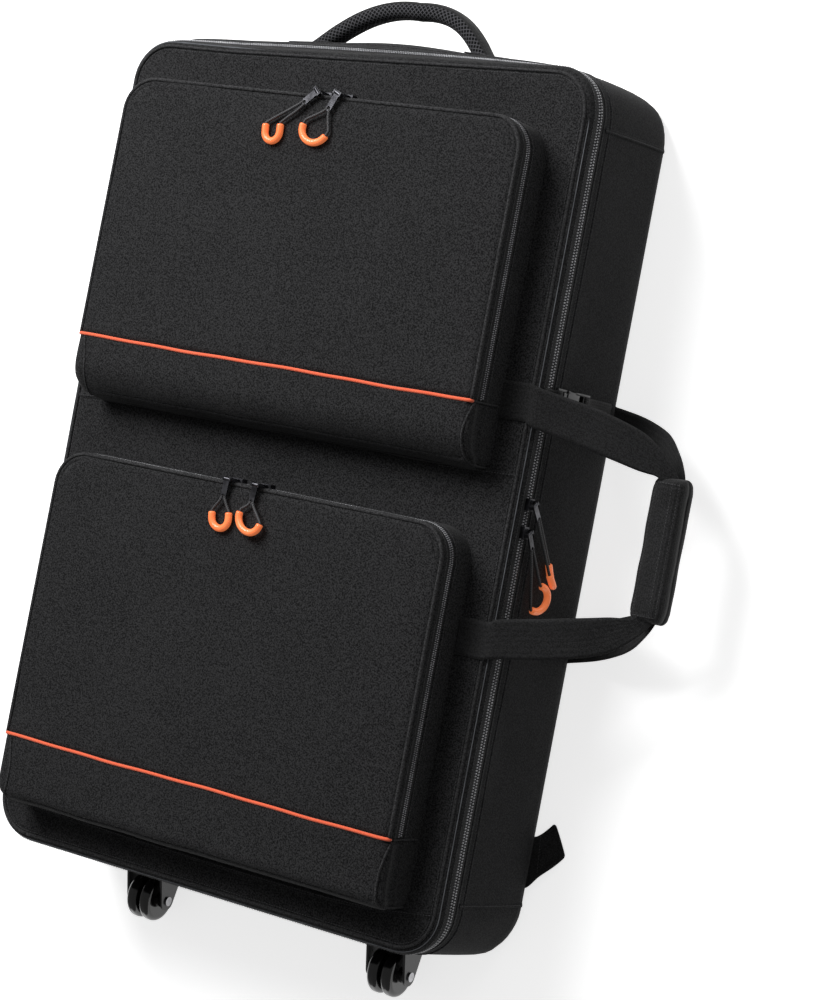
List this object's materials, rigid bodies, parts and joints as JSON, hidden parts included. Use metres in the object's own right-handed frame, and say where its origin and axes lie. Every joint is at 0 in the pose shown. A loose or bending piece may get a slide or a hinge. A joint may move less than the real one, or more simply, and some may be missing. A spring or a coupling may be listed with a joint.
{
  "type": "portfolio case",
  "caption": "Rolling soft portfolio case: padded zip-round body, two front pockets, side carrying handle, top handle and a pair of base wheels.",
  "frame": {"origin": "middle of the back panel's outer face, which lies on the floor", "axes": "+X to the carrying handle's side, +Y up the case to the top handle, +Z out of the front"},
  "size_m": [0.792, 1.1025, 0.244],
  "materials": {
    "case_fabric": "fine twill polyester, charcoal black, lightly speckled, matte",
    "lining_fabric": "smooth grey polyester lining",
    "foam_padding": "closed-cell foam padding",
    "board_plastic": "thin stiffening board",
    "zip_black": "black zip tape and nylon coil",
    "webbing_black": "black polypropylene webbing",
    "mesh_black": "black spacer mesh over padding",
    "wheel_plastic": "gloss black moulded wheel",
    "bracket_plastic": "black moulded bracket",
    "rivet_steel": "bright zinc-plated steel",
    "slider_metal": "black-plated metal",
    "cord_black": "black round cord",
    "tip_orange": "moulded orange soft plastic, satin",
    "piping_orange": "orange woven piping",
    "buckle_plastic": "black acetal, satin"
  },
  "bodies": {
    "case": {"back_shell": "case_fabric", "back_foam": "foam_padding", "back_lining": "lining_fabric", "back_board": "board_plastic", "base_board": "board_plastic", "main_zip_back": "zip_black", "hinge_strip": "lining_fabric", "top_handle_anchors": "webbing_black", "wheel_brackets": "bracket_plastic", "wheel_axles": "rivet_steel", "bracket_screws": "rivet_steel", "back_webbing": "webbing_black", "buckle_socket": "buckle_plastic"},
    "top_handle": {"top_handle_webbing": "webbing_black", "top_handle_pad": "mesh_black"},
    "left_wheel": {"wheel_left": "wheel_plastic"},
    "right_wheel": {"wheel_right": "wheel_plastic"},
    "lid": {"lid_shell": "case_fabric", "lid_foam": "foam_padding", "lid_lining": "lining_fabric", "main_zip_lid": "zip_black", "lid_webbing": "webbing_black", "buckle_tongue": "buckle_plastic", "pocket_piping": "piping_orange", "upper_pocket_body": "case_fabric", "upper_pocket_zip": "zip_black", "lower_pocket_body": "case_fabric", "lower_pocket_zip": "zip_black"},
    "upper_flap": {"upper_pocket_flap": "case_fabric", "upper_flap_zip": "zip_black"},
    "lower_flap": {"lower_pocket_flap": "case_fabric", "lower_flap_zip": "zip_black"},
    "front_handle": {"handle_strap_front": "webbing_black", "grip_front": "webbing_black"},
    "rear_handle": {"handle_strap_rear": "webbing_black", "grip_rear": "webbing_black"},
    "upper_left_slide": {"upper_left_slider": "slider_metal"},
    "upper_left_pull": {"upper_left_link": "slider_metal", "upper_left_cord": "cord_black", "upper_left_tip": "tip_orange"},
    "upper_right_slide": {"upper_right_slider": "slider_metal"},
    "upper_right_pull": {"upper_right_link": "slider_metal", "upper_right_cord": "cord_black", "upper_right_tip": "tip_orange"},
    "lower_left_slide": {"lower_left_slider": "slider_metal"},
    "lower_left_pull": {"lower_left_link": "slider_metal", "lower_left_cord": "cord_black", "lower_left_tip": "tip_orange"},
    "lower_right_slide": {"lower_right_slider": "slider_metal"},
    "lower_right_pull": {"lower_right_link": "slider_metal", "lower_right_cord": "cord_black", "lower_right_tip": "tip_orange"},
    "main_upper_slide": {"main_upper_slider": "slider_metal"},
    "main_upper_pull": {"main_upper_link": "slider_metal", "main_upper_cord": "cord_black", "main_upper_tip": "tip_orange"},
    "main_lower_slide": {"main_lower_slider": "slider_metal"},
    "main_lower_pull": {"main_lower_link": "slider_metal", "main_lower_cord": "cord_black", "main_lower_tip": "tip_orange"}
  },
  "joints": [
    {"name": "lid_open", "type": "hinge", "parent": "case", "child": "lid", "pos_m": [-0.303, 0, 0.16], "axis": [0, -1, 0], "range_deg": [0, 160]},
    {"name": "upper_flap_open", "type": "hinge", "parent": "lid", "child": "upper_flap", "pos_m": [0, 0.119, 0.236], "axis": [1, 0, 0], "range_deg": [0, 110]},
    {"name": "lower_flap_open", "type": "hinge", "parent": "lid", "child": "lower_flap", "pos_m": [0, -0.344, 0.236], "axis": [1, 0, 0], "range_deg": [0, 110]},
    {"name": "front_handle_swing", "type": "hinge", "parent": "lid", "child": "front_handle", "pos_m": [0.306, 0, 0.178], "axis": [0, -1, 0], "range_deg": [0, 70]},
    {"name": "rear_handle_swing", "type": "hinge", "parent": "case", "child": "rear_handle", "pos_m": [0.306, 0, 0.002], "axis": [0, 1, 0], "range_deg": [0, 60]},
    {"name": "top_handle_fold", "type": "hinge", "parent": "case", "child": "top_handle", "pos_m": [0, 0.472, 0.09], "axis": [1, 0, 0], "range_deg": [-50, 50]},
    {"name": "left_wheel_spin", "type": "hinge", "parent": "case", "child": "left_wheel", "pos_m": [-0.171, -0.523, 0.031], "axis": [1, 0, 0], "continuous": true},
    {"name": "right_wheel_spin", "type": "hinge", "parent": "case", "child": "right_wheel", "pos_m": [0.171, -0.523, 0.031], "axis": [1, 0, 0], "continuous": true},
    {"name": "upper_left_slide", "type": "slide", "parent": "upper_flap", "child": "upper_left_slide", "axis": [-1, 0, 0], "range_m": [0, 0.21]},
    {"name": "upper_left_lift", "type": "hinge", "parent": "upper_left_slide", "child": "upper_left_pull", "pos_m": [-0.001, 0.418, 0.2402], "axis": [-0.6947, 0.7193, 0], "range_deg": [0, 100]},
    {"name": "upper_right_slide", "type": "slide", "parent": "upper_flap", "child": "upper_right_slide", "axis": [1, 0, 0], "range_m": [0, 0.185]},
    {"name": "upper_right_lift", "type": "hinge", "parent": "upper_right_slide", "child": "upper_right_pull", "pos_m": [0.026, 0.418, 0.2402], "axis": [-0.9063, 0.4226, 0], "range_deg": [0, 100]},
    {"name": "lower_left_slide", "type": "slide", "parent": "lower_flap", "child": "lower_left_slide", "axis": [-1, 0, 0], "range_m": [0, 0.19]},
    {"name": "lower_left_lift", "type": "hinge", "parent": "lower_left_slide", "child": "lower_left_pull", "pos_m": [-0.024, -0.012, 0.2402], "axis": [-0.9986, 0.0523, 0], "range_deg": [0, 100]},
    {"name": "lower_right_slide", "type": "slide", "parent": "lower_flap", "child": "lower_right_slide", "axis": [1, 0, 0], "range_m": [0, 0.2]},
    {"name": "lower_right_lift", "type": "hinge", "parent": "lower_right_slide", "child": "lower_right_pull", "pos_m": [0.014, -0.012, 0.2402], "axis": [-0.9976, 0.0698, 0], "range_deg": [0, 100]},
    {"name": "main_upper_slide", "type": "slide", "parent": "case", "child": "main_upper_slide", "axis": [0, 1, 0], "range_m": [0, 0.088]},
    {"name": "main_upper_lift", "type": "hinge", "parent": "main_upper_slide", "child": "main_upper_pull", "pos_m": [0.312, 0.022, 0.16], "axis": [0, -0.7071, 0.7071], "range_deg": [0, 100]},
    {"name": "main_lower_slide", "type": "slide", "parent": "case", "child": "main_lower_slide", "axis": [0, -1, 0], "range_m": [0, 0.38]},
    {"name": "main_lower_lift", "type": "hinge", "parent": "main_lower_slide", "child": "main_lower_pull", "pos_m": [0.312, -0.008, 0.16], "axis": [0, -0.5878, 0.809], "range_deg": [0, 100]}
  ]
}
